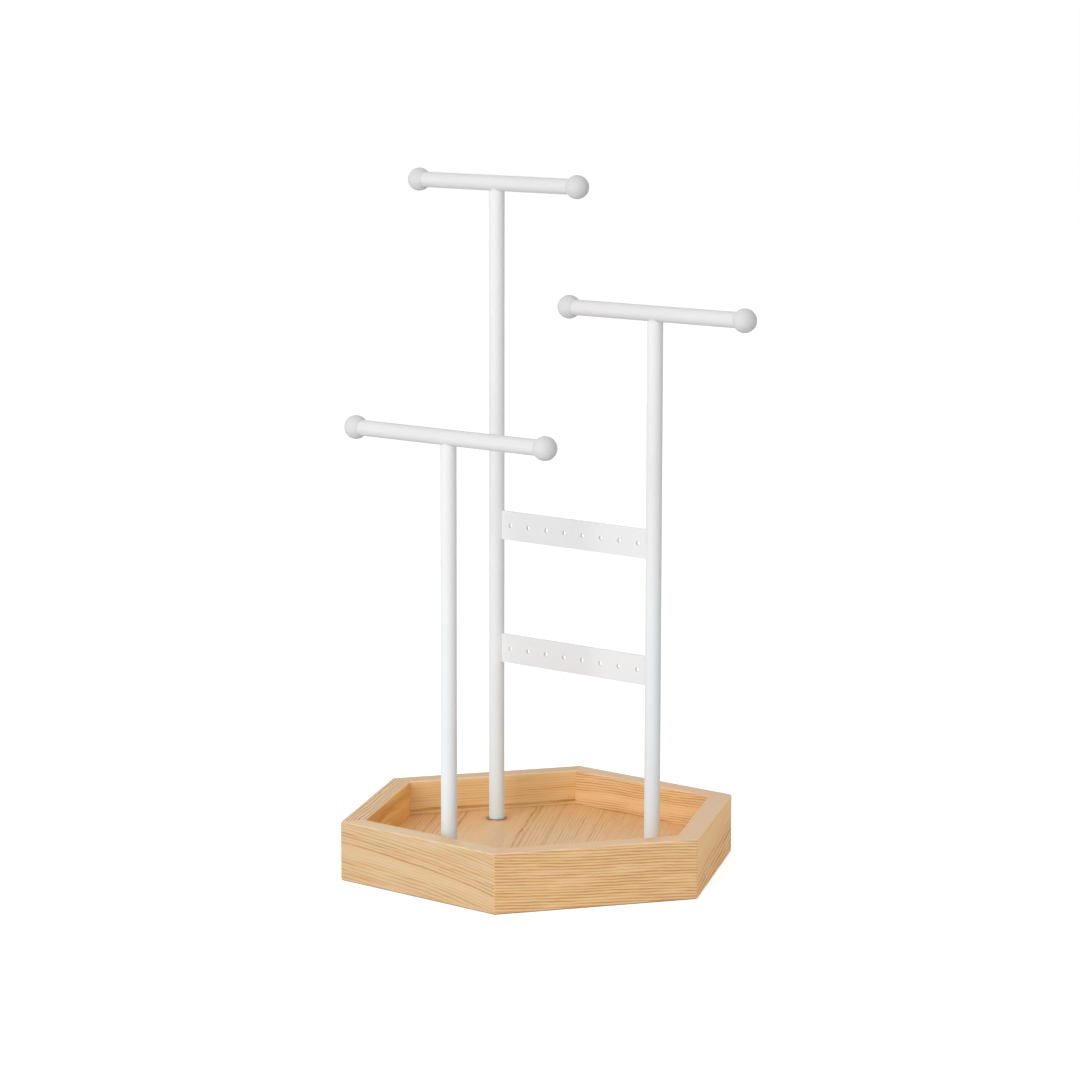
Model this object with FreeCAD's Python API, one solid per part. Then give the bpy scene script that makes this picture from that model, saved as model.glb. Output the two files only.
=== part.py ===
import FreeCAD, Part
import math
import os

# Jewellery stand: a hexagonal pine tray with three white T-shaped hangers and
# two drilled earring strips.  Millimetres, +Z up, +X to the right, +Y to the
# back.  The origin lies on the table under the middle of the tray.

# ---------------------------------------------------------------- tray
tray_width = 180.0              # outside, across two parallel walls
wall_height = 30.0
wall_thickness = 11.0
arris_bevel = 0.6               # eased long edges of the walls
corner_radius = 1.0             # sanded upright corners of the tray
floor_height = 12.0             # upper face of the floor above the table
floor_thickness = 6.0
groove_depth = 4.0              # groove in the walls that holds the floor
groove_play = 0.1               # free height above the floor in the groove
floor_edge_play = 0.3           # room for the floor to move in the groove

# ---------------------------------------------------------------- posts and crossbars
rod_diameter = 8.0              # posts and crossbars are cut from one rod
front_post_inset = 12.5         # post axis to the inner face of the front wall
rear_post_spacing = 106.0       # between the axes of the two rear posts
rear_post_offset = 25.5         # rear post axes behind the middle of the tray
tall_bar_height = 342.0         # crossbar axes above the table
middle_bar_height = 282.0
low_bar_height = 224.5
tall_bar_span = 109.0           # between the centres of the two end balls
middle_bar_span = 113.0
low_bar_span = 126.0
post_top_bevel = 1.4            # coned top of a post, let into the crossbar's underside
weld_gap = 0.05                 # fit of a coped end on the rod it is welded to

# ---------------------------------------------------------------- end balls
ball_diameter = 12.0
ball_bore_depth = 7.0           # how far the rod runs into the ball
ball_bore_play = 0.1            # bore over the rod

# ---------------------------------------------------------------- earring strips
strip_height = 15.0
strip_thickness = 1.2
upper_strip_height = 167.0      # middle of the strip above the table
lower_strip_height = 103.0
strip_holes = 8
strip_hole_diameter = 2.2
strip_hole_margin = 6.0         # end hole to the side of the post

# ---------------------------------------------------------------- fixings under the posts
screw_diameter = 5.0
screw_length = 20.0
screw_head_diameter = 9.5
screw_head_height = 3.7
washer_diameter = 15.0
washer_thickness = 1.2
foot_ring_diameter = 10.6       # thin steel ring between post and floor
foot_ring_thickness = 0.5
screw_hole_play = 0.5           # floor, ring and washer holes over the screw
thread_play = 0.1               # post bore over the screw (threads left out)
bore_end_play = 3.0             # post bore runs on past the screw

# ---------------------------------------------------------------- working margin
overcut = 1.0                   # how far a cutting shape runs past what it cuts

# ---------------------------------------------------------------- derived sizes
inner_width = tray_width - 2.0 * wall_thickness
rod_radius = rod_diameter / 2.0
ball_radius = ball_diameter / 2.0
ball_bore_radius = rod_radius + ball_bore_play / 2.0
ball_mouth = math.sqrt(ball_radius ** 2 - ball_bore_radius ** 2)
rod_end = ball_mouth - ball_bore_depth      # from the ball's centre, inwards
floor_underside = floor_height - floor_thickness
post_foot = floor_height + foot_ring_thickness
washer_underside = floor_underside - washer_thickness
screw_tip = washer_underside + screw_length
screw_hole_diameter = screw_diameter + screw_hole_play

front_post = (0.0, front_post_inset - inner_width / 2.0)
left_post = (-rear_post_spacing / 2.0, rear_post_offset)
right_post = (rear_post_spacing / 2.0, rear_post_offset)
post_places = (front_post, left_post, right_post)

X_AXIS = FreeCAD.Vector(1, 0, 0)
Y_AXIS = FreeCAD.Vector(0, 1, 0)
Z_AXIS = FreeCAD.Vector(0, 0, 1)

os.makedirs("parts", exist_ok=True)


def save(name, *solids):
    """Write one node, made of one solid or of several equal pieces."""
    for solid in solids:
        if not solid.isValid() or solid.Volume <= 0.0:
            raise ValueError(name + " is not a sound solid")
    shape = solids[0] if len(solids) == 1 else Part.makeCompound(list(solids))
    shape.exportStep("parts/" + name + ".step")


def only_solid(shape):
    """The single solid that a boolean operation leaves."""
    if len(shape.Solids) != 1:
        raise ValueError("expected one solid, found %d" % len(shape.Solids))
    return shape.Solids[0]


def hexagon_prism(width, bottom, top):
    """Hexagonal prism about the Z axis, with a flat side to the front."""
    radius = width / math.sqrt(3.0)
    corners = []
    for step in range(7):
        angle = math.radians(60.0 * step)
        corners.append(FreeCAD.Vector(radius * math.cos(angle), radius * math.sin(angle), bottom))
    face = Part.Face(Part.makePolygon(corners))
    return face.extrude(Z_AXIS * (top - bottom))


def rod(start, direction, length, radius):
    return Part.makeCylinder(radius, length, FreeCAD.Vector(*start), direction)


def screw_hole(place, bottom, thickness):
    """Cutting rod for the screw's clearance hole through a board or a ring."""
    x, y = place
    length = thickness + 2.0 * overcut
    return rod((x, y, bottom - overcut), Z_AXIS, length, screw_hole_diameter / 2.0)


# ---------------------------------------------------------------- mitred walls
def edges_along_z(solid):
    return [e for e in solid.Edges if abs(e.tangentAt(e.FirstParameter).z) > 0.999]


def edges_at_height(solid, height):
    found = []
    for edge in solid.Edges:
        box = edge.BoundBox
        if abs(box.ZMin - height) < 1e-6 and abs(box.ZMax - height) < 1e-6:
            found.append(edge)
    return found


def tray_ring():
    """All six walls in one ring, sanded and grooved before it is divided."""
    block = hexagon_prism(tray_width, 0.0, wall_height)
    block = block.makeFillet(corner_radius, edges_along_z(block))
    rims = edges_at_height(block, wall_height) + edges_at_height(block, 0.0)
    block = block.makeChamfer(arris_bevel, rims)

    well = hexagon_prism(inner_width, -overcut, wall_height + overcut)
    ring = only_solid(block.cut(well))
    half_way_out = (inner_width + wall_thickness) / 2.0
    inner_rims = []
    for edge in edges_at_height(ring, wall_height) + edges_at_height(ring, 0.0):
        middle = edge.CenterOfMass
        if math.hypot(middle.x, middle.y) < half_way_out:
            inner_rims.append(edge)
    ring = ring.makeChamfer(arris_bevel, inner_rims)

    groove = hexagon_prism(
        inner_width + 2.0 * groove_depth,
        floor_underside,
        floor_height + groove_play,
    )
    return only_solid(ring.cut(groove))


def mitre_wedge(facing):
    """Sector of the tray that belongs to the wall facing this way (degrees)."""
    reach = tray_width
    points = [FreeCAD.Vector(0, 0, -overcut)]
    for side in (-30.0, 30.0):
        angle = math.radians(facing + side)
        points.append(FreeCAD.Vector(reach * math.cos(angle), reach * math.sin(angle), -overcut))
    points.append(points[0])
    return Part.Face(Part.makePolygon(points)).extrude(Z_AXIS * (wall_height + 2.0 * overcut))


ring = tray_ring()
wall_facings = {
    "front_wall": -90.0,
    "front_right_wall": -30.0,
    "back_right_wall": 30.0,
    "back_wall": 90.0,
    "back_left_wall": 150.0,
    "front_left_wall": 210.0,
}
for wall_name, facing in wall_facings.items():
    save(wall_name, only_solid(ring.common(mitre_wedge(facing))))

# ---------------------------------------------------------------- floor board
floor_width = inner_width + 2.0 * (groove_depth - floor_edge_play)
floor = hexagon_prism(floor_width, floor_underside, floor_height)
for place in post_places:
    floor = floor.cut(screw_hole(place, floor_underside, floor_thickness))
save("tray_floor", only_solid(floor))


# ---------------------------------------------------------------- T-shaped hangers
def post(place, bar_height):
    """Post with a tapped foot; its coned top is coped to the crossbar's underside."""
    x, y = place
    top = bar_height - rod_radius + post_top_bevel
    body = rod((x, y, post_foot), Z_AXIS, top - post_foot, rod_radius)
    body = body.makeChamfer(post_top_bevel, edges_at_height(body, top))
    bore_radius = (screw_diameter + thread_play) / 2.0
    bore_top = screw_tip + bore_end_play
    bore = rod((x, y, post_foot - overcut), Z_AXIS, bore_top - post_foot + overcut, bore_radius)
    cope = rod((x - rod_diameter, y, bar_height), X_AXIS, 2.0 * rod_diameter, rod_radius + weld_gap)
    return only_solid(body.cut(bore).cut(cope))


def crossbar(place, bar_height, span):
    """Plain rod whose two ends stand in the bores of the balls."""
    x, y = place
    half_length = span / 2.0 - rod_end
    return rod((x - half_length, y, bar_height), X_AXIS, 2.0 * half_length, rod_radius)


def end_ball(place, bar_height, span, side):
    """Ball with a blind bore that the end of the crossbar bottoms in."""
    x, y = place
    centre = FreeCAD.Vector(x + side * span / 2.0, y, bar_height)
    inward = X_AXIS * (-side)
    ball = Part.makeSphere(ball_radius, centre, inward)
    bore = Part.makeCylinder(ball_bore_radius, ball_diameter, centre + inward * rod_end, inward)
    return only_solid(ball.cut(bore))


hangers = {
    "tall": (left_post, tall_bar_height, tall_bar_span),
    "middle": (right_post, middle_bar_height, middle_bar_span),
    "low": (front_post, low_bar_height, low_bar_span),
}
end_balls = []
for size, (place, bar_height, span) in hangers.items():
    save(size + "_post", post(place, bar_height))
    save(size + "_crossbar", crossbar(place, bar_height, span))
    end_balls.append(end_ball(place, bar_height, span, -1.0))
    end_balls.append(end_ball(place, bar_height, span, 1.0))
save("end_balls", *end_balls)


# ---------------------------------------------------------------- earring strips
def earring_strip(height):
    """Flat strip between the rear posts, its ends coped to them and welded."""
    y = left_post[1]
    strip = Part.makeBox(
        rear_post_spacing, strip_thickness, strip_height,
        FreeCAD.Vector(left_post[0], y - strip_thickness / 2.0, height - strip_height / 2.0),
    )
    for post_x, post_y in (left_post, right_post):
        bottom = (post_x, post_y, height - strip_height)
        strip = strip.cut(rod(bottom, Z_AXIS, 2.0 * strip_height, rod_radius + weld_gap))
    first = left_post[0] + rod_radius + strip_hole_margin
    last = right_post[0] - rod_radius - strip_hole_margin
    for index in range(strip_holes):
        x = first + (last - first) * index / (strip_holes - 1)
        front = (x, y - strip_thickness, height)
        strip = strip.cut(rod(front, Y_AXIS, 2.0 * strip_thickness, strip_hole_diameter / 2.0))
    return only_solid(strip)


save("upper_earring_strip", earring_strip(upper_strip_height))
save("lower_earring_strip", earring_strip(lower_strip_height))


# ---------------------------------------------------------------- rings, washers and screws
def flat_ring(place, diameter, bottom, thickness):
    x, y = place
    disc = rod((x, y, bottom), Z_AXIS, thickness, diameter / 2.0)
    return only_solid(disc.cut(screw_hole(place, bottom, thickness)))


def head_down_screw(place):
    """Machine screw with a plain round head, head down, turned as one profile."""
    x, y = place
    head_radius = screw_head_diameter / 2.0
    shank_radius = screw_diameter / 2.0
    head_face = washer_underside - screw_head_height
    profile = [
        (0.0, head_face),
        (head_radius, head_face),
        (head_radius, washer_underside),
        (shank_radius, washer_underside),
        (shank_radius, screw_tip),
        (0.0, screw_tip),
    ]
    points = [FreeCAD.Vector(x + radius, y, z) for radius, z in profile]
    outline = Part.makePolygon(points + points[:1])
    return only_solid(Part.Face(outline).revolve(points[0], Z_AXIS, 360.0))


save("post_foot_rings", *[
    flat_ring(place, foot_ring_diameter, floor_height, foot_ring_thickness) for place in post_places
])
save("fixing_washers", *[
    flat_ring(place, washer_diameter, washer_underside, washer_thickness) for place in post_places
])
save("fixing_screws", *[head_down_screw(place) for place in post_places])
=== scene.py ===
"""Finish and stage of a jewellery stand: hexagonal pine tray, white hangers and earring strips."""

import math

import bmesh
import bpy
from bpy.props import FloatProperty, FloatVectorProperty, PointerProperty
from mathutils import Matrix, Vector


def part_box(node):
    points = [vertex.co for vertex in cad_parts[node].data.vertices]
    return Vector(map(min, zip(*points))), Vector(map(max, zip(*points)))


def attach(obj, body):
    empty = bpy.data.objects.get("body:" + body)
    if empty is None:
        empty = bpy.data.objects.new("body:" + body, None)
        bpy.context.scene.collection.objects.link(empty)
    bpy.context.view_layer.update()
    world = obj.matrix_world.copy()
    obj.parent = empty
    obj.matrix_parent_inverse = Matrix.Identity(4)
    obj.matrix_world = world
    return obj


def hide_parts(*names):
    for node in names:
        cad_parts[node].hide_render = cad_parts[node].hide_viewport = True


bl_info = {
    "name": "Jewellery Stand Looks",
    "version": (1, 0, 0),
    "blender": (4, 5, 0),
    "location": "View3D > Sidebar > Stand",
    "description": "Dresses a jewellery stand in lacquered pine and white powder coat",
    "category": "Object",
}

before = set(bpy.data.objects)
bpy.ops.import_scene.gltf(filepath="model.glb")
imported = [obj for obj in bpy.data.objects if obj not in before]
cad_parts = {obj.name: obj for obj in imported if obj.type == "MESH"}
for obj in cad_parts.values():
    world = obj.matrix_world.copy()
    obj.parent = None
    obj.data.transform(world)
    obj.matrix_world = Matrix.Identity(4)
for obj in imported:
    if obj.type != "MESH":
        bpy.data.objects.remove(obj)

MM = 0.001
TRAY_HALF_WIDTH = -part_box("front_wall")[0].y / MM       # outer face of a wall from the middle, in mm
FLOOR_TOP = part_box("tray_floor")[1].z / MM
HANGERS = ("tall", "middle", "low")

# ---------------------------------------------------------------- grain of each board
# In mm, seen square on to the board's outer face (the floor: from above).
#   facing    the way the outer face looks, in degrees about +Z from +X
#   slope     rise of the grain lines to the right, in degrees
#   sweep     one slow wave of the lines: (rise and fall, length, where it crosses zero going up)
#   pith      centre of the growth rings: (depth behind the face, height above the table)
#   ring      width of one growth ring
#   uneven    how much the widths of the rings differ
#   contrast  how much the strengths of the rings differ
#   wander    how far the lines stray
#   late      strength of the dark late wood
#   tint      colour of this board against the common pine colour
#   rim       tint of the wall's rim
#   lines     strength of the fine lines along the rim
# Some boards also have:
#   plain     a band with hardly any lines: (distance from the pith, half width)
#   marks     stronger rings: (distance from the pith, half width, strength)
#   tone      colour of those stronger rings
#   own       how much of the board's own grain shows on its rim
# A wall's place in the table sets its seed, so the order stays.
WALLS = {
    "front_wall": dict(
        facing=-90, slope=-5.7, sweep=(2.0, 208.0, -52.0), pith=(70.0, -75.0),
        ring=1.30, uneven=0.8, contrast=0.4, wander=0.5, late=0.72, tint=(0.865, 0.89, 0.945),
        plain=(111.2, 2.4), tone=(0.56, 0.27, 0.10),
        marks=((116.2, 0.45, 1.0), (113.5, 0.45, 0.9), (118.8, 0.35, 0.5), (102.4, 0.6, 0.35)),
        rim=(1.18, 1.21, 1.15), lines=0.55, own=0.7),
    "front_right_wall": dict(
        facing=-30, slope=-2.3, sweep=(0.3, 90.0, 10.0), pith=(30.0, -150.0),
        ring=1.44, uneven=0.20, contrast=0.15, wander=0.35, late=1.25, tint=(1.095, 1.075, 1.045),
        rim=(1.08, 1.05, 0.99), lines=0.1),
    "back_right_wall": dict(
        facing=30, slope=5.0, sweep=(0.3, 90.0, -40.0), pith=(30.0, -90.0),
        ring=2.1, uneven=0.5, contrast=0.4, wander=0.3, late=0.4, tint=(1.255, 1.15, 1.035),
        plain=(123.0, 9.0), tone=(0.60, 0.27, 0.09),
        marks=((91.2, 0.9, 1.0), (94.4, 0.8, 1.0), (97.0, 0.85, 1.1), (99.9, 0.8, 1.0),
               (102.6, 0.85, 1.1), (105.6, 0.75, 0.8), (108.4, 0.7, 0.6)),
        rim=(1.06, 1.07, 1.06), lines=0.1),
    "back_wall": dict(
        facing=90, slope=-1.5, sweep=(0.4, 70.0, 0.0), pith=(-14.0, -120.0),
        ring=1.30, uneven=0.3, contrast=0.2, wander=0.4, late=1.2, tint=(1.02, 1.055, 1.165),
        plain=(141.0, 2.5), tone=(0.56, 0.29, 0.10),
        marks=((133.6, 0.35, 0.8), (135.0, 0.35, 0.7)),
        rim=(1.05, 1.04, 1.02), lines=0.2),
    "back_left_wall": dict(
        facing=150, slope=0.2, sweep=(0.3, 90.0, 0.0), pith=(-16.0, 140.0),
        ring=1.3, uneven=0.6, contrast=0.4, wander=0.5, late=0.55, tint=(1.02, 1.08, 1.14),
        plain=(114.0, 2.0), tone=(0.50, 0.27, 0.05),
        marks=((128.7, 1.1, 1.1),),
        rim=(1.0, 0.98, 0.92), lines=0.5),
    "front_left_wall": dict(
        facing=210, slope=0.5, sweep=(0.6, 90.0, 0.0), pith=(75.0, 15.0),
        ring=1.9, uneven=0.8, contrast=0.4, wander=0.6, late=1.0, tint=(1.12, 0.985, 0.69),
        rim=(1.07, 1.09, 0.93), lines=1.3),
}
# The floor's pith lies this far across from the tray's middle and this far below the floor's top.
FLOOR_PITH_ACROSS = 30.0
FLOOR_PITH_BELOW = 35.0
FLOOR_SEED = 11
FLOOR_BOARD = dict(
    facing=34, slope=0.0, sweep=(0.0, 90.0, 0.0),
    ring=1.25, uneven=0.7, contrast=0.25, wander=0.40, late=0.60, tint=(1.075, 0.975, 0.915),
    plain=(36.5, 2.8), tone=(0.45, 0.17, 0.035),
    marks=((38.9, 0.45, 1.0), (40.2, 0.35, 0.8), (47.5, 0.35, 0.8),
           (58.0, 0.3, 0.45), (64.0, 0.3, 0.6)))

# Noise patterns in the pine. scale is per mm: along the board, in from its outer face and up it.
# apart is how far each step of the seed moves a board through the pattern.
PATTERNS = {
    "wander": dict(scale=(0.018, 0.05, 0.05), apart=(7.3, 0.0, 1.0)),
    "ripple": dict(scale=(0.09, 0.4, 0.4), apart=(1.0, 0.0, 5.1)),
    "fading": dict(scale=(0.035, 0.35, 0.35), apart=(1.0, 2.7, 0.0)),
    "fibres": dict(scale=(0.10, 2.6, 2.6), apart=(0.0, 1.0, 0.0), detail=3.0, roughness=0.7),
    "blush": dict(scale=(0.03, 0.22, 0.22), apart=(0.0, 0.0, 1.9), detail=3.0),
    "yellow": dict(scale=(0.025, 0.30, 0.30), apart=(0.0, 2.3, 0.0)),
    "rim_drift": dict(scale=(0.02, 0.15, 0.0), apart=(0.0, 0.0, 0.0)),
}
WANDER_REACH = 4.0              # mm between the furthest strays of the rings, for a wander of 1
RIPPLE_HEIGHT = 0.9             # mm between the top and the bottom of the lines' small waves
WIDTH_CHANGES = 0.21            # how often the rings' width changes, per mm
STRENGTH_CHANGES = 0.9          # how often the rings' strength changes, per ring
STRENGTH_APART = 3.1            # rings between one seed's strengths and the next one's
FINE_LINES_PER_RING = 2.7
PLAIN_CORE = 0.45               # share of a plain band's half width that is quite plain
PLAIN_LEVEL = 0.25              # strength of the lines that are left there
FIBRE_SHADE = 0.36              # how far the fibres darken and lighten the wood

# Stops are (place, level). These run across one growth ring and one fine line, outwards.
LATE_WOOD = ((0.0, 0.25), (0.10, 0.0), (0.50, 0.05), (0.78, 0.80), (0.90, 1.0), (1.0, 0.25))
FINE_LINE = ((0.2, 0.0), (0.7, 0.34), (1.0, 0.0))
# These run over the level of a noise pattern.
FADING = ((0.32, 0.35), (0.68, 1.25))
BLUSH_PATCHES = ((0.48, 0.0), (0.66, 1.0))
YELLOW_PATCHES = ((0.50, 0.0), (0.68, 1.0))
BLUSH_STRENGTH = 0.55
YELLOW_STRENGTH = 0.5
YELLOW_TINT = (1.0, 1.0, 0.84)

# The warmer inner face of a wall, painted warm light bounced inside the tray, by depth behind the outer
# face as a share of 20 mm.
INNER_FACE_SCALE = 20.0
INNER_FACE = ((0.50, 0.0), (0.54, 1.0))
# Rims and arrises, by how far a face looks up or down.
RIM_FACE = ((0.92, 0.0), (0.97, 1.0))
ARRIS_FACE = ((0.15, 0.0), (0.35, 1.0), (0.90, 1.0), (0.97, 0.0))
RIM_LINE = ((0.45, 0.0), (0.80, 1.0), (1.0, 0.0))
RIM_LINE_PITCH = 1.7            # mm
RIM_DRIFT = 4.0                 # mm that the rim's lines stray
RIM_LINE_TINT = (0.63, 0.46, 0.28)
RIM_FIBRES = 0.25
ARRIS_HIGHLIGHT_EVENLY = 0.1               # painted highlight on an upper arris everywhere, and more where the fibres are pale
ARRIS_HIGHLIGHT_BY_FIBRES = 0.7
LOWER_ARRIS_SHADE = 0.8                    # strength of the painted shade on a lower arris
# Painted shade round the foot of each post, by distance from its middle as a share of this many mm.
POST_SHADE_REACH = 10.0
POST_SHADE = ((0.50, 0.55), (0.66, 0.36), (0.80, 0.12), (1.0, 0.0))
POST_SHADE_BASE = 0.5                 # the rest of the painted shade follows the fibres

RAISED_GRAIN = 0.27             # roughness that upright faces have over the lacquer's own
RUBBED_SMOOTH = -0.42           # and what rubbing takes off on rims and floor
FIBRE_ROUGHNESS = 0.16
LACQUER_SPECULAR = 0.3
LATE_WOOD_RELIEF = 0.6          # relief of the late wood against that of the fibres
GRAIN_HEIGHT = 0.05 * MM
GRAIN_BUMP = 0.5

# ---------------------------------------------------------------- values of the metal finishes
COAT_CLOUDS = 30.0              # patches per metre in the coat's white
COAT_SHADES = ((0.3, 0.975), (0.7, 1.0))
COAT_ROUGHNESS = 0.44
PEEL_ROUGHNESS = 0.14
COAT_SPECULAR = 0.1
PEEL_HEIGHT = 0.02 * MM
PEEL_BUMP = 0.35
UNDERSIDE_SHADE = 0.12           # how much painted shade greys the coat where it faces straight down
# The cooler white at the foot of a post, painted to cancel the warm light bounced from the wood, by
# height above the table as a share of 0.2 m.
COOL_FOOT_SCALE = 0.2
COOL_FOOT = ((0.06, 1.0), (0.18, 0.8), (0.45, 0.4), (0.95, 0.0))
FOOT_COOLNESS = (1.0, 1.0, 0.55)    # its strength on each of the hangers' posts

PLATE_SPANGLES = 900.0          # per metre
PLATE_SHADES = ((0.3, 0.82), (0.7, 1.0))
PLATE_ROUGHNESS = 0.22
SPANGLE_ROUGHNESS = 0.2

# ---------------------------------------------------------------- sizes of the screws
TURNED_SIDES = 32
# Radius of the pan head, and height above its crown, both in mm, from the crown up to its side.
PAN_HEAD = ((3.1, 0.0), (4.0, 0.25), (4.5, 0.8), (4.75, 1.6))
SCREW_SHANK_RADIUS = 2.5 * MM
SCREW_TIP_CHAMFER = 0.6 * MM
RECESS_ARM = 2.3 * MM           # from the middle to an arm's end
RECESS_HALF_WIDTH = 0.5 * MM
RECESS_DEPTH = 1.9 * MM
RECESS_TAPER = 0.6              # size of the recess at its bottom against its mouth
SHARP_EDGE = math.radians(40.0)

# ---------------------------------------------------------------- places on the stage, in metres
LAMP_TARGET = (0.0, 0.0, 0.15)
KEY_LAMP = dict(location=(0.24, -1.72, 0.57), width=1.0, height=1.6)
TOP_LAMP = dict(location=(-0.2, 0.2, 1.95), width=1.6, height=1.6)
FLOOR_REACH = 4.0
FLOOR_DROP = 0.1 * MM           # a hair down, so that it never shares the tray's lowest plane
FLOOR_COLOUR = (0.85, 0.85, 0.85, 1.0)
FLOOR_ROUGHNESS = 0.9
FLOOR_GLOW = 0.60
SENSOR_WIDTH = 36.0             # mm


# ---------------------------------------------------------------- settings
class PineSettings(bpy.types.PropertyGroup):
    early_colour: FloatVectorProperty(
        name="Early wood", description="Pale wood between the rings", subtype="COLOR",
        size=3, min=0.0, max=1.0, default=(0.86, 0.61, 0.34))
    late_colour: FloatVectorProperty(
        name="Late wood", description="Darker line of each ring", subtype="COLOR",
        size=3, min=0.0, max=1.0, default=(0.56, 0.29, 0.10))
    blush: FloatVectorProperty(
        name="Blush", description="Tint of the warm patches in the wood", subtype="COLOR",
        size=3, min=0.0, max=1.0, default=(1.0, 0.90, 0.84))
    rim_colour: FloatVectorProperty(
        name="Rim", description="Even, pale wood on top of the walls", subtype="COLOR",
        size=3, min=0.0, max=1.0, default=(0.815, 0.527, 0.277))
    # painted warm light bounced between the walls inside the tray
    well_bounce_tint: FloatVectorProperty(
        name="Well tint", description="Warmer tint of the walls' inner faces", subtype="COLOR",
        size=3, min=0.0, soft_max=1.2, default=(1.07, 1.015, 0.885))
    # painted highlight: paler wood along the upper arrises, where the rim turns down into the faces
    arris_highlight_colour: FloatVectorProperty(
        name="Worn edge", description="Paler wood along the upper arrises", subtype="COLOR",
        size=3, min=0.0, max=1.0, default=(0.95, 0.76, 0.55))
    # painted shade: darker wood along the lower arrises, where the walls stand on the table
    lower_arris_shade_colour: FloatVectorProperty(
        name="Foot edge", description="Soiled wood along the lower arrises", subtype="COLOR",
        size=3, min=0.0, max=1.0, default=(0.40, 0.25, 0.12))
    lacquer_roughness: FloatProperty(
        name="Lacquer roughness", description="0 is a mirror, 1 is bare wood", subtype="FACTOR",
        min=0.0, max=1.0, default=0.42)


class MetalSettings(bpy.types.PropertyGroup):
    post_colour: FloatVectorProperty(
        name="Post coat", description="Colour of the posts", subtype="COLOR",
        size=3, min=0.0, max=1.0, default=(0.865, 0.867, 0.873))
    bar_colour: FloatVectorProperty(
        name="Crossbar coat", description="Colour of the crossbars", subtype="COLOR",
        size=3, min=0.0, max=1.0, default=(0.785, 0.787, 0.792))
    # painted cool tint at the posts' feet, cancelling the warm light bounced from the wood
    foot_bounce_cancel_colour: FloatVectorProperty(
        name="Post coat at the foot", description="Cooler white where the posts stand in the tray",
        subtype="COLOR", size=3, min=0.0, max=1.0, default=(0.81, 0.93, 1.0))
    ball_colour: FloatVectorProperty(
        name="Ball coat", description="Colour of the end balls", subtype="COLOR",
        size=3, min=0.0, max=1.0, default=(0.725, 0.727, 0.732))
    # a touch bluer than the posts' white, painted to cancel the warm light bounced from the tray
    strip_colour: FloatVectorProperty(
        name="Strip coat", description="Colour of the earring strips", subtype="COLOR",
        size=3, min=0.0, max=1.0, default=(0.858, 0.873, 0.892))
    coat_grain: FloatProperty(
        name="Coat grain", description="Size of the coat's fine texture", subtype="DISTANCE",
        unit="LENGTH", min=0.0001, max=0.01, default=0.0007)
    zinc_colour: FloatVectorProperty(
        name="Zinc", description="Colour of the washers and screws", subtype="COLOR",
        size=3, min=0.0, max=1.0, default=(0.60, 0.60, 0.61))
    # dark brown on the foot rings, where the posts pass into the floor board
    ring_colour: FloatVectorProperty(
        name="Foot ring", description="Colour of the browned rings under the posts", subtype="COLOR",
        size=3, min=0.0, max=1.0, default=(0.48, 0.385, 0.31))


class StageSettings(bpy.types.PropertyGroup):
    camera_azimuth: FloatProperty(
        name="Camera azimuth", description="Turn of the camera about the stand from the front",
        subtype="ANGLE", unit="ROTATION", default=math.radians(42.05))
    camera_distance: FloatProperty(
        name="Camera distance", description="Level distance from the middle of the tray",
        subtype="DISTANCE", unit="LENGTH", default=1.838)
    camera_height: FloatProperty(
        name="Camera height", description="Height above the table", subtype="DISTANCE",
        unit="LENGTH", default=0.4441)
    camera_dip: FloatProperty(
        name="Camera dip", description="How far the camera looks down", subtype="ANGLE",
        unit="ROTATION", default=0.1497)
    camera_roll: FloatProperty(
        name="Camera roll", description="Turn about the line of sight", subtype="ANGLE",
        unit="ROTATION", default=0.0019)
    focal_length: FloatProperty(
        name="Focal length", description="Lens on a 36 mm sensor, in millimetres",
        unit="CAMERA", default=123.8)
    ambient: FloatProperty(
        name="Ambient light", description="Level of the light from all round", subtype="FACTOR",
        min=0.0, max=1.0, default=0.55)
    key: FloatProperty(
        name="Key lamp", description="Power of the tall soft lamp at the front",
        unit="POWER", default=18.4)
    top: FloatProperty(
        name="Top lamp", description="Power of the soft lamp overhead", unit="POWER", default=2.4)


class StandSettings(bpy.types.PropertyGroup):
    pine: PointerProperty(type=PineSettings)
    metal: PointerProperty(type=MetalSettings)
    stage: PointerProperty(type=StageSettings)


# ---------------------------------------------------------------- node helpers
def new_material(name):
    material = bpy.data.materials.new(name)
    material.use_nodes = True
    tree = material.node_tree
    tree.nodes.clear()
    output = tree.nodes.new("ShaderNodeOutputMaterial")
    shader = tree.nodes.new("ShaderNodeBsdfPrincipled")
    tree.links.new(shader.outputs["BSDF"], output.inputs["Surface"])
    return material, tree, shader


def set_input(tree, socket, value):
    if isinstance(value, bpy.types.NodeSocket):
        tree.links.new(value, socket)
    else:
        socket.default_value = value


def maths(tree, operation, *values, clamp=False):
    node = tree.nodes.new("ShaderNodeMath")
    node.operation = operation
    node.use_clamp = clamp
    for socket, value in zip(node.inputs, values):
        set_input(tree, socket, value)
    return node.outputs[0]


def vector_maths(tree, operation, *values):
    node = tree.nodes.new("ShaderNodeVectorMath")
    node.operation = operation
    for socket, value in zip(node.inputs, values):
        set_input(tree, socket, value)
    return node.outputs["Value" if operation == "LENGTH" else "Vector"]


def component(tree, vector, axis):
    node = tree.nodes.new("ShaderNodeSeparateXYZ")
    tree.links.new(vector, node.inputs["Vector"])
    return node.outputs[axis]


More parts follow.
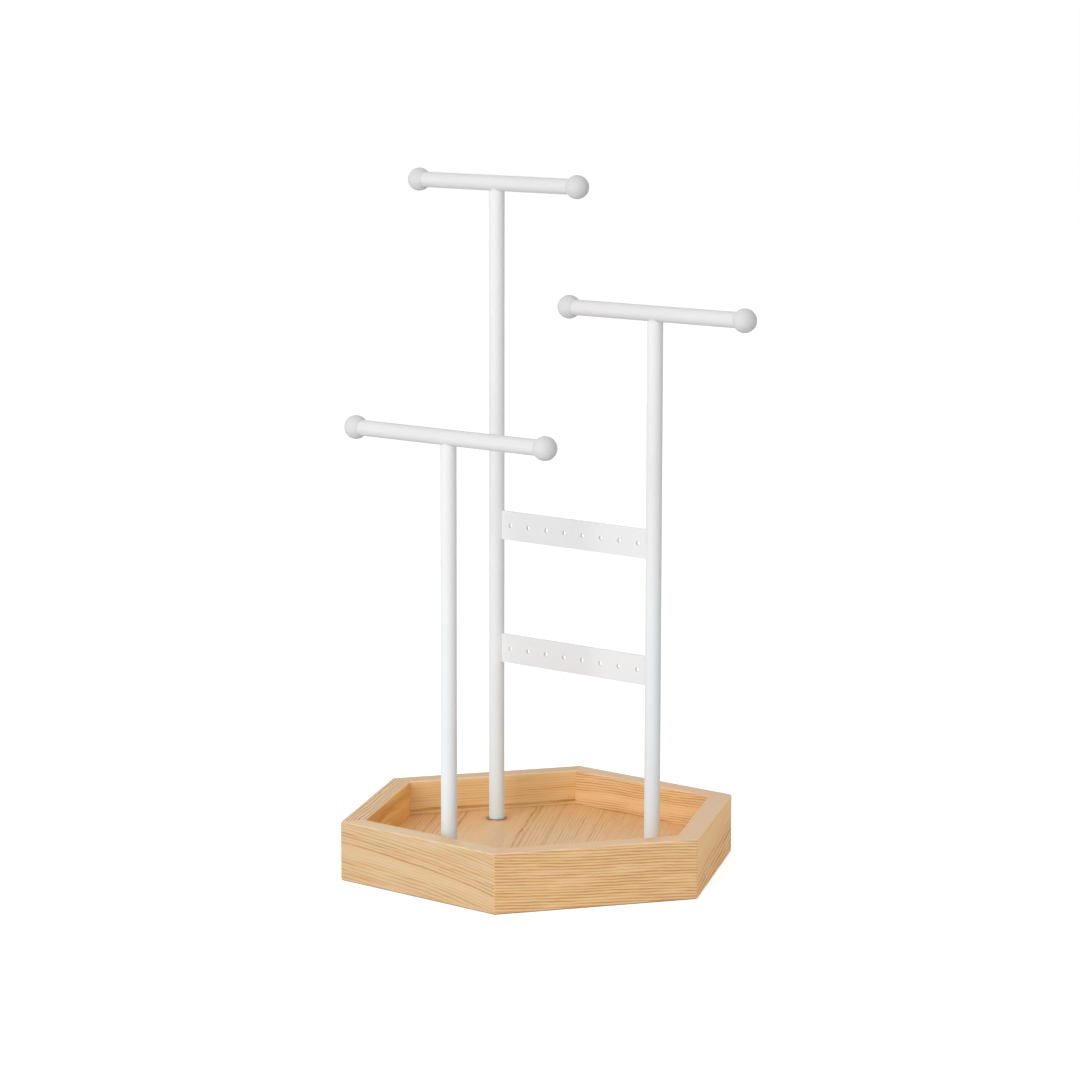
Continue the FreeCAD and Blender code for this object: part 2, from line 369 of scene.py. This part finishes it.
def mapped(tree, vector, location=(0, 0, 0), rotation=(0, 0, 0), scale=(1, 1, 1)):
    node = tree.nodes.new("ShaderNodeMapping")
    node.inputs["Location"].default_value = location
    node.inputs["Rotation"].default_value = rotation
    node.inputs["Scale"].default_value = scale
    tree.links.new(vector, node.inputs["Vector"])
    return node.outputs["Vector"]


def frame_position(tree):
    """Position in the frame, in metres."""
    return tree.nodes.new("ShaderNodeTexCoord").outputs["Object"]


def facing_up(tree):
    """1 where a face looks straight up, 0 where it stands upright and -1 where it looks down."""
    return component(tree, tree.nodes.new("ShaderNodeNewGeometry").outputs["Normal"], "Z")


def noise(tree, vector, scale=1.0, detail=2.0, roughness=0.5, output="Fac"):
    node = tree.nodes.new("ShaderNodeTexNoise")
    node.inputs["Scale"].default_value = scale
    node.inputs["Detail"].default_value = detail
    node.inputs["Roughness"].default_value = roughness
    tree.links.new(vector, node.inputs["Vector"])
    return node.outputs[output]


def noise_along(tree, distance, scale):
    """Noise that changes only with one length."""
    node = tree.nodes.new("ShaderNodeTexNoise")
    node.noise_dimensions = "1D"
    node.inputs["Scale"].default_value = scale
    node.inputs["Detail"].default_value = 1.0
    tree.links.new(distance, node.inputs["W"])
    return node.outputs["Fac"]


def ramp(tree, factor, stops):
    """Level that runs straight from each (place, level) stop to the next."""
    node = tree.nodes.new("ShaderNodeValToRGB")
    elements = node.color_ramp.elements
    for place, level in stops[1:-1]:
        elements.new(place)
    for element, (place, level) in zip(elements, stops):
        element.position = place
        element.color = (level, level, level, 1.0)
    tree.links.new(factor, node.inputs["Fac"])
    return node.outputs["Color"]


def colour_mix(tree, factor, first, second, blend="MIX"):
    node = tree.nodes.new("ShaderNodeMix")
    node.data_type = "RGBA"
    node.blend_type = blend
    set_input(tree, node.inputs["Factor"], factor)
    set_input(tree, node.inputs["A"], rgba(first))
    set_input(tree, node.inputs["B"], rgba(second))
    return node.outputs["Result"]


def rgba(value):
    if isinstance(value, bpy.types.NodeSocket):
        return value
    return (*value, 1.0)


def tinted(colour, tint):
    return tuple(level * share for level, share in zip(colour, tint))


def bump(tree, height, distance, strength):
    node = tree.nodes.new("ShaderNodeBump")
    node.inputs["Strength"].default_value = strength
    node.inputs["Distance"].default_value = distance
    tree.links.new(height, node.inputs["Height"])
    return node.outputs["Normal"]


def dress(node_name, material):
    """Gives a CAD node this material in all its slots."""
    mesh_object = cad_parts[node_name]
    if not mesh_object.data.materials:
        mesh_object.data.materials.append(material)
    for mesh_slot in mesh_object.material_slots:
        mesh_slot.link = "OBJECT"
        mesh_slot.material = material


# ---------------------------------------------------------------- pine
def board_position(tree, facing):
    """Position in mm with X along the board, Y in from its outer face's side and Z up."""
    turn = -math.radians(facing + 90.0)
    return mapped(tree, frame_position(tree), rotation=(0.0, 0.0, turn), scale=(1 / MM, 1 / MM, 1 / MM))


def pattern(tree, position, name, seed=0, output="Fac"):
    """One of the pine's noise patterns, at this board's own place in it."""
    values = PATTERNS[name]
    place = tuple(seed * step for step in values["apart"])
    vector = mapped(tree, position, place, scale=values["scale"])
    return noise(tree, vector, detail=values.get("detail", 2.0),
                 roughness=values.get("roughness", 0.5), output=output)


def pith_distance(tree, position, board, pith, seed):
    """Distance in mm from the centre of the growth rings, through wood whose grain strays."""
    sloped = mapped(tree, position, rotation=(0.0, math.radians(board["slope"]), 0.0))

    reach = WANDER_REACH * board["wander"]
    wander = pattern(tree, position, "wander", seed, output="Color")
    wander = vector_maths(tree, "SUBTRACT", wander, (0.5, 0.5, 0.5))
    wander = vector_maths(tree, "MULTIPLY", wander, (0.0, reach, reach))

    rise, length, start = board["sweep"]
    turn = 2.0 * math.pi / length
    phase = maths(tree, "MULTIPLY_ADD", component(tree, position, "X"), turn, -start * turn)
    sweep = maths(tree, "MULTIPLY", maths(tree, "SINE", phase), -rise)
    ripple = pattern(tree, position, "ripple", seed)
    ripple = maths(tree, "MULTIPLY_ADD", ripple, RIPPLE_HEIGHT, -RIPPLE_HEIGHT / 2.0)
    lift = tree.nodes.new("ShaderNodeCombineXYZ")
    tree.links.new(maths(tree, "ADD", sweep, ripple), lift.inputs["Z"])

    strayed = vector_maths(tree, "ADD", sloped, wander)
    strayed = vector_maths(tree, "ADD", strayed, lift.outputs["Vector"])
    from_pith = vector_maths(tree, "SUBTRACT", strayed, (0.0, *pith))
    return vector_maths(tree, "LENGTH", vector_maths(tree, "MULTIPLY", from_pith, (0.0, 1.0, 1.0)))


def late_wood(tree, radius, fading, board, seed):
    """Dark late wood of the growth rings, from 0 to about 1."""
    uneven = maths(tree, "MULTIPLY", noise_along(tree, radius, WIDTH_CHANGES), board["uneven"])
    rings = maths(tree, "ADD", maths(tree, "DIVIDE", radius, board["ring"]), uneven)
    late = ramp(tree, maths(tree, "FRACT", rings), LATE_WOOD)

    contrast = board["contrast"]
    weak, usual, strong = 1.0 - contrast, 0.95 - 0.5 * contrast, 1.0 + 0.4 * contrast
    change = maths(tree, "ADD", rings, seed * STRENGTH_APART)
    change = noise_along(tree, change, STRENGTH_CHANGES)
    strength = ramp(tree, change, ((0.30, weak), (0.50, usual), (0.70, strong)))

    fine = maths(tree, "FRACT", maths(tree, "MULTIPLY", rings, FINE_LINES_PER_RING))
    late = maths(tree, "ADD", maths(tree, "MULTIPLY", late, strength), ramp(tree, fine, FINE_LINE))
    late = maths(tree, "MULTIPLY", late, fading)
    late = maths(tree, "MULTIPLY", late, board["late"])
    if "plain" in board:
        middle, half = board["plain"]
        off = maths(tree, "ABSOLUTE", maths(tree, "SUBTRACT", radius, middle))
        busy = maths(tree, "SUBTRACT", maths(tree, "DIVIDE", off, half), PLAIN_CORE, clamp=True)
        busy = maths(tree, "MULTIPLY_ADD", busy, 1.0 - PLAIN_LEVEL, PLAIN_LEVEL)
        late = maths(tree, "MULTIPLY", late, busy)
    return late


def stronger_rings(tree, radius, fading, marks):
    """The few rings that stand out among the rest, from 0 to 1."""
    marked = 0.0
    for distance, half, strength in marks:
        off = maths(tree, "ABSOLUTE", maths(tree, "SUBTRACT", radius, distance))
        line = maths(tree, "SUBTRACT", 1.0, maths(tree, "DIVIDE", off, half), clamp=True)
        marked = maths(tree, "MAXIMUM", marked, maths(tree, "MULTIPLY", line, strength))
    return maths(tree, "MULTIPLY", marked, fading, clamp=True)


def patchy(tree, colour, level, stops, strength, tint):
    """Tints a colour in patches, where the level of a pattern is high."""
    patches = maths(tree, "MULTIPLY", ramp(tree, level, stops), strength)
    return colour_mix(tree, patches, colour, tint, "MULTIPLY")


def pine_board(name, pine, board, pith, seed, wall=True):
    """Lacquered pine with this board's own grain; pith is (Y, Z) in the board's frame, in mm."""
    material, tree, shader = new_material(name)
    position = board_position(tree, board["facing"])
    radius = pith_distance(tree, position, board, pith, seed)
    fading = ramp(tree, pattern(tree, position, "fading", seed), FADING)
    fibres = pattern(tree, position, "fibres", seed)
    shade = maths(tree, "MULTIPLY_ADD", fibres, FIBRE_SHADE, -FIBRE_SHADE / 2.0)
    late = maths(tree, "ADD", late_wood(tree, radius, fading, board, seed), shade, clamp=True)

    early_colour = tinted(pine.early_colour, board["tint"])
    late_colour = tinted(pine.late_colour, board["tint"])
    colour = colour_mix(tree, late, early_colour, late_colour)
    if "marks" in board:
        marked = stronger_rings(tree, radius, fading, board["marks"])
        colour = colour_mix(tree, marked, colour, board["tone"])

    # warm blushes and pale yellow patches drawn out along the grain
    blush = pattern(tree, position, "blush", seed)
    colour = patchy(tree, colour, blush, BLUSH_PATCHES, BLUSH_STRENGTH, pine.blush)
    yellow = pattern(tree, position, "yellow", seed)
    colour = patchy(tree, colour, yellow, YELLOW_PATCHES, YELLOW_STRENGTH, YELLOW_TINT)

    upward = facing_up(tree)
    if wall:
        colour = wall_faces(tree, colour, fibres, position, upward, pine, board)
    else:
        colour = painted_shade_round_posts(tree, colour, fibres, pine)
    tree.links.new(colour, shader.inputs["Base Color"])

    # rims and floor are rubbed smooth, upright faces keep some raised grain
    rubbed = maths(tree, "ABSOLUTE", upward)
    upright_roughness = pine.lacquer_roughness + RAISED_GRAIN
    roughness = maths(tree, "MULTIPLY_ADD", rubbed, RUBBED_SMOOTH, upright_roughness)
    roughness = maths(tree, "MULTIPLY_ADD", fibres, FIBRE_ROUGHNESS, roughness)
    tree.links.new(roughness, shader.inputs["Roughness"])
    shader.inputs["Specular IOR Level"].default_value = LACQUER_SPECULAR
    relief = maths(tree, "MULTIPLY_ADD", late, LATE_WOOD_RELIEF, fibres)
    tree.links.new(bump(tree, relief, GRAIN_HEIGHT, GRAIN_BUMP), shader.inputs["Normal"])
    return material


def rim_wood(tree, colour, fibres, position, depth, pine, board):
    """Even, pale wood with fine lines along the rim, and what shows there of the board's own grain."""
    across = maths(tree, "MULTIPLY_ADD", pattern(tree, position, "rim_drift"), RIM_DRIFT, depth)
    lines = maths(tree, "FRACT", maths(tree, "DIVIDE", across, RIM_LINE_PITCH))
    lines = maths(tree, "MULTIPLY", ramp(tree, lines, RIM_LINE), board["lines"])
    grain = maths(tree, "MULTIPLY_ADD", fibres, RIM_FIBRES, lines, clamp=True)
    pale = tinted(pine.rim_colour, board["rim"])
    rim = colour_mix(tree, grain, pale, tinted(pale, RIM_LINE_TINT))
    if "own" in board:
        own = colour_mix(tree, 1.0, colour, board["rim"], "MULTIPLY")
        rim = colour_mix(tree, board["own"], rim, own)
    return rim


def wall_faces(tree, colour, fibres, position, upward, pine, board):
    """What sets a wall's rim, inner face and arrises apart from its outer face."""
    depth = maths(tree, "ADD", component(tree, position, "Y"), TRAY_HALF_WIDTH)
    # painted warm bounce light on the inner faces of the walls
    inner = ramp(tree, maths(tree, "DIVIDE", depth, INNER_FACE_SCALE), INNER_FACE)
    colour = colour_mix(tree, inner, colour, pine.well_bounce_tint, "MULTIPLY")
    rim = rim_wood(tree, colour, fibres, position, depth, pine, board)
    colour = colour_mix(tree, ramp(tree, upward, RIM_FACE), colour, rim)

    # painted highlight along the upper arrises, paler where the fibres are pale
    highlight_amount = maths(tree, "MULTIPLY_ADD", fibres, ARRIS_HIGHLIGHT_BY_FIBRES, ARRIS_HIGHLIGHT_EVENLY)
    arris_highlight = maths(tree, "MULTIPLY", ramp(tree, upward, ARRIS_FACE), highlight_amount, clamp=True)
    colour = colour_mix(tree, arris_highlight, colour, pine.arris_highlight_colour)
    # painted shade along the lower arrises, where the walls stand on the table
    downward = maths(tree, "MULTIPLY", upward, -1.0)
    lower_arris_shade = maths(tree, "MULTIPLY", ramp(tree, downward, ARRIS_FACE), LOWER_ARRIS_SHADE)
    return colour_mix(tree, lower_arris_shade, colour, pine.lower_arris_shade_colour)


def painted_shade_round_posts(tree, colour, fibres, pine):
    """Darker floor close round the foot of each post: painted shade where the post meets the floor
    board.
    """
    position = frame_position(tree)
    amount = maths(tree, "ADD", fibres, POST_SHADE_BASE)
    for size in HANGERS:
        low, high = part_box(size + "_post")
        middle = ((low.x + high.x) / 2.0, (low.y + high.y) / 2.0, 0.0)
        level = vector_maths(tree, "SUBTRACT", position, middle)
        level = vector_maths(tree, "MULTIPLY", level, (1.0, 1.0, 0.0))
        distance = maths(tree, "DIVIDE", vector_maths(tree, "LENGTH", level), POST_SHADE_REACH * MM)
        post_shade = maths(tree, "MULTIPLY", ramp(tree, distance, POST_SHADE), amount, clamp=True)
        colour = colour_mix(tree, post_shade, colour, pine.late_colour)
    return colour


class STAND_OT_walls(bpy.types.Operator):
    """Finish the six mitred tray walls in lacquered pine"""
    bl_idname = "stand.walls"
    bl_label = "Tray Walls"

    def execute(self, context):
        pine = context.scene.stand.pine
        for seed, (node_name, board) in enumerate(WALLS.items(), 1):
            depth, height = board["pith"]
            pith = (depth - TRAY_HALF_WIDTH, height)
            dress(node_name, pine_board("pine_" + node_name, pine, board, pith, seed))
        return {"FINISHED"}


class STAND_OT_floor_board(bpy.types.Operator):
    """Finish the tray's floor board in lacquered pine"""
    bl_idname = "stand.floor_board"
    bl_label = "Floor Board"

    def execute(self, context):
        pine = context.scene.stand.pine
        pith = (FLOOR_PITH_ACROSS, FLOOR_TOP - FLOOR_PITH_BELOW)
        material = pine_board("pine_floor_board", pine, FLOOR_BOARD, pith, FLOOR_SEED, wall=False)
        dress("tray_floor", material)
        return {"FINISHED"}


# ---------------------------------------------------------------- metal
def powder_coat(name, metal, coat_colour, cooler=0.0):
    """Satin white coat with a fine orange peel; its white can turn cooler towards the tray, painted to
    cancel the warm light bounced from the wood, and painted shade greys the faces that look down.
    """
    material, tree, shader = new_material(name)
    position = frame_position(tree)
    colour = tuple(coat_colour)
    # painted cool tint towards the tray, cancelling the warm light bounced from the wood
    if cooler:
        height = maths(tree, "DIVIDE", component(tree, position, "Z"), COOL_FOOT_SCALE)
        foot = maths(tree, "MULTIPLY", ramp(tree, height, COOL_FOOT), cooler)
        colour = colour_mix(tree, foot, colour, metal.foot_bounce_cancel_colour)
    clouds = ramp(tree, noise(tree, position, COAT_CLOUDS), COAT_SHADES)
    colour = colour_mix(tree, 1.0, colour, clouds, "MULTIPLY")
    # painted shade: greyer coat on faces that look down
    painted_underside_shade = maths(tree, "MULTIPLY", facing_up(tree), -UNDERSIDE_SHADE, clamp=True)
    colour = colour_mix(tree, painted_underside_shade, colour, (0.0, 0.0, 0.0))
    tree.links.new(colour, shader.inputs["Base Color"])

    peel = noise(tree, position, 1.0 / metal.coat_grain)
    roughness = maths(tree, "MULTIPLY_ADD", peel, PEEL_ROUGHNESS, COAT_ROUGHNESS)
    tree.links.new(roughness, shader.inputs["Roughness"])
    shader.inputs["Specular IOR Level"].default_value = COAT_SPECULAR
    tree.links.new(bump(tree, peel, PEEL_HEIGHT, PEEL_BUMP), shader.inputs["Normal"])
    return material


def plated_steel(name, plate_colour):
    """Steel under a thin plate, with a fine spangle in its colour and gloss."""
    material, tree, shader = new_material(name)
    spangle = noise(tree, frame_position(tree), PLATE_SPANGLES, detail=3.0)
    colour = colour_mix(tree, 1.0, plate_colour, ramp(tree, spangle, PLATE_SHADES), "MULTIPLY")
    tree.links.new(colour, shader.inputs["Base Color"])
    shader.inputs["Metallic"].default_value = 1.0
    roughness = maths(tree, "MULTIPLY_ADD", spangle, SPANGLE_ROUGHNESS, PLATE_ROUGHNESS)
    tree.links.new(roughness, shader.inputs["Roughness"])
    return material


class STAND_OT_hangers(bpy.types.Operator):
    """Finish the posts, crossbars and end balls in white powder coat"""
    bl_idname = "stand.hangers"
    bl_label = "Hangers"

    def execute(self, context):
        metal = context.scene.stand.metal
        bar_coat = powder_coat("powder_coat_crossbars", metal, metal.bar_colour)
        for size, cooler in zip(HANGERS, FOOT_COOLNESS):
            post_coat = powder_coat("powder_coat_%s_post" % size, metal, metal.post_colour, cooler)
            dress(size + "_post", post_coat)
            dress(size + "_crossbar", bar_coat)
        dress("end_balls", powder_coat("powder_coat_balls", metal, metal.ball_colour))
        return {"FINISHED"}


class STAND_OT_earring_strips(bpy.types.Operator):
    """Finish the two earring strips in white powder coat"""
    bl_idname = "stand.earring_strips"
    bl_label = "Earring Strips"

    def execute(self, context):
        metal = context.scene.stand.metal
        coat = powder_coat("powder_coat_strips", metal, metal.strip_colour)
        for level in ("upper", "lower"):
            dress(level + "_earring_strip", coat)
        return {"FINISHED"}


# ---------------------------------------------------------------- fixings
def turned(mesh, centre, profile):
    """Adds a turned surface from (radius, height) pairs; gives back its first and last ring."""
    angles = [2.0 * math.pi * step / TURNED_SIDES for step in range(TURNED_SIDES)]
    rings = []
    for radius, height in profile:
        rings.append([
            mesh.verts.new((centre.x + radius * math.cos(a), centre.y + radius * math.sin(a), height))
            for a in angles])
    for lower, upper in zip(rings, rings[1:]):
        for step in range(TURNED_SIDES):
            after = (step + 1) % TURNED_SIDES
            mesh.faces.new((lower[step], lower[after], upper[after], upper[step]))
    return rings[0], rings[-1]


def cross_recess(mesh, centre, rim, height):
    """Fills the flat inside a rim with a face that has a cross recess for the driver sunk into it."""
    arm, half = RECESS_ARM, RECESS_HALF_WIDTH
    outline = [(arm, -half), (arm, half), (half, half), (half, arm), (-half, arm), (-half, half),
               (-arm, half), (-arm, -half), (-half, -half), (-half, -arm), (half, -arm), (half, -half)]
    lip = [mesh.verts.new((centre.x + x, centre.y + y, height)) for x, y in outline]
    bottom = [mesh.verts.new((centre.x + RECESS_TAPER * x, centre.y + RECESS_TAPER * y,
                              height + RECESS_DEPTH)) for x, y in outline]
    for i in range(len(outline)):
        mesh.faces.new((lip[i - 1], lip[i], bottom[i], bottom[i - 1]))
    mesh.faces.new(bottom)
    loops = [mesh.edges.get((ring[i - 1], ring[i])) for ring in (rim, lip) for i in range(len(ring))]
    bmesh.ops.triangle_fill(mesh, use_beauty=True, edges=loops)


def screw(mesh, centre):
    """One pan-head screw, head down, from the washer up into the post."""
    head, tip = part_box("fixing_screws")[0].z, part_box("fixing_screws")[1].z
    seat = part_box("fixing_washers")[0].z
    profile = [(radius * MM, head + height * MM) for radius, height in PAN_HEAD]
    head_radius = profile[-1][0]
    shank, chamfer = SCREW_SHANK_RADIUS, SCREW_TIP_CHAMFER
    profile += [(head_radius, seat), (shank, seat), (shank, tip - chamfer), (shank - chamfer, tip)]
    rim, end = turned(mesh, centre, profile)
    cross_recess(mesh, centre, rim, head)
    mesh.faces.new(end)


class STAND_OT_fixings(bpy.types.Operator):
    """Finish the foot rings and washers, and put in screws with domed heads and cross recesses"""
    bl_idname = "stand.fixings"
    bl_label = "Fixings"

    def execute(self, context):
        metal = context.scene.stand.metal
        zinc = plated_steel("zinc_plate", metal.zinc_colour)
        dress("fixing_washers", zinc)
        # dark brown plate on the foot rings, where the posts pass into the floor board
        dress("post_foot_rings", plated_steel("browned_plate", metal.ring_colour))

        built = bmesh.new()
        for size in HANGERS:
            low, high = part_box(size + "_post")
            screw(built, (low + high) / 2.0)
        bmesh.ops.recalc_face_normals(built, faces=built.faces)
        for face in built.faces:
            face.smooth = True
        mesh = bpy.data.meshes.new("domed_screws")
        built.to_mesh(mesh)
        built.free()
        mesh.set_sharp_from_angle(angle=SHARP_EDGE)
        mesh.materials.append(zinc)
        screws = bpy.data.objects.new("domed_screws", mesh)
        context.scene.collection.objects.link(screws)
        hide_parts("fixing_screws")
        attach(screws, "root")
        return {"FINISHED"}


# ---------------------------------------------------------------- stage
def seen_background(tree):
    """1 where the camera, a gloss or a clear material looks straight at this surface."""
    path = tree.nodes.new("ShaderNodeLightPath")
    seen = maths(tree, "MAXIMUM", path.outputs["Is Camera Ray"], path.outputs["Is Glossy Ray"])
    return maths(tree, "MAXIMUM", seen, path.outputs["Is Transmission Ray"])


def make_world(ambient):
    world = bpy.data.worlds.new("studio")
    bpy.context.scene.world = world
    world.use_nodes = True
    tree = world.node_tree
    background = tree.nodes["Background"]
    strength = maths(tree, "MULTIPLY_ADD", seen_background(tree), 1.0 - ambient, ambient)
    tree.links.new(strength, background.inputs["Strength"])
    background.inputs["Color"].default_value = (1.0, 1.0, 1.0, 1.0)


def make_floor():
    reach = FLOOR_REACH
    corners = [(-reach, -reach, 0), (reach, -reach, 0), (reach, reach, 0), (-reach, reach, 0)]
    mesh = bpy.data.meshes.new("floor")
    mesh.from_pydata(corners, [], [(0, 1, 2, 3)])
    floor = bpy.data.objects.new("floor", mesh)
    floor.location.z = -FLOOR_DROP
    bpy.context.scene.collection.objects.link(floor)
    material, tree, shader = new_material("floor_paper")
    shader.inputs["Base Color"].default_value = FLOOR_COLOUR
    shader.inputs["Roughness"].default_value = FLOOR_ROUGHNESS
    shader.inputs["Specular IOR Level"].default_value = 0.0
    glow = tree.nodes.new("ShaderNodeEmission")
    strength = maths(tree, "MULTIPLY", seen_background(tree), FLOOR_GLOW)
    tree.links.new(strength, glow.inputs["Strength"])
    both = tree.nodes.new("ShaderNodeAddShader")
    tree.links.new(shader.outputs["BSDF"], both.inputs[0])
    tree.links.new(glow.outputs["Emission"], both.inputs[1])
    tree.links.new(both.outputs["Shader"], tree.nodes["Material Output"].inputs["Surface"])
    mesh.materials.append(material)


def area_lamp(name, power, location, width, height):
    light = bpy.data.lights.new(name, "AREA")
    light.shape = "RECTANGLE"
    light.size = width
    light.size_y = height
    light.energy = power
    lamp = bpy.data.objects.new(name, light)
    bpy.context.scene.collection.objects.link(lamp)
    lamp.location = location
    aim = Vector(LAMP_TARGET) - Vector(location)
    lamp.rotation_euler = aim.to_track_quat("-Z", "Y").to_euler()


def make_camera(stage):
    camera = bpy.data.objects.new("camera", bpy.data.cameras.new("camera"))
    bpy.context.scene.collection.objects.link(camera)
    camera.data.sensor_width = SENSOR_WIDTH
    camera.data.lens = stage.focal_length
    turn = stage.camera_azimuth
    location = Vector((math.sin(turn), -math.cos(turn), 0.0)) * stage.camera_distance
    location.z = stage.camera_height
    look = Matrix.Rotation(turn, 4, "Z") @ Matrix.Rotation(math.pi / 2 - stage.camera_dip, 4, "X")
    roll = Matrix.Rotation(stage.camera_roll, 4, "Z")
    camera.matrix_world = Matrix.Translation(location) @ look @ roll
    bpy.context.scene.camera = camera


class STAND_OT_stage(bpy.types.Operator):
    """Set the pale floor, the soft light and the camera"""
    bl_idname = "stand.stage"
    bl_label = "Stage"

    def execute(self, context):
        stage = context.scene.stand.stage
        make_world(stage.ambient)
        make_floor()
        area_lamp("key_lamp", stage.key, **KEY_LAMP)
        area_lamp("top_lamp", stage.top, **TOP_LAMP)
        make_camera(stage)
        context.scene.view_settings.view_transform = "Standard"
        return {"FINISHED"}


class STAND_PT_panel(bpy.types.Panel):
    """Lists the stand's pieces and its stage"""
    bl_idname = "STAND_PT_panel"
    bl_label = "Jewellery Stand"
    bl_space_type = "VIEW_3D"
    bl_region_type = "UI"
    bl_category = "Stand"

    def draw(self, context):
        settings = context.scene.stand
        for group in (settings.pine, settings.metal, settings.stage):
            box = self.layout.box()
            for name in group.__annotations__:
                box.prop(group, name)
        for operator in PIECES:
            self.layout.operator(operator.bl_idname)


PIECES = (
    STAND_OT_walls,
    STAND_OT_floor_board,
    STAND_OT_hangers,
    STAND_OT_earring_strips,
    STAND_OT_fixings,
    STAND_OT_stage,
)
CLASSES = (PineSettings, MetalSettings, StageSettings, StandSettings, *PIECES, STAND_PT_panel)


def register():
    for cls in CLASSES:
        bpy.utils.register_class(cls)
    bpy.types.Scene.stand = PointerProperty(type=StandSettings)


def unregister():
    del bpy.types.Scene.stand
    for cls in reversed(CLASSES):
        bpy.utils.unregister_class(cls)


def main():
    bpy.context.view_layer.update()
    register()
    bpy.ops.stand.walls()
    bpy.ops.stand.floor_board()
    bpy.ops.stand.hangers()
    bpy.ops.stand.earring_strips()
    bpy.ops.stand.fixings()
    bpy.ops.stand.stage()


if __name__ == "__main__":
    main()
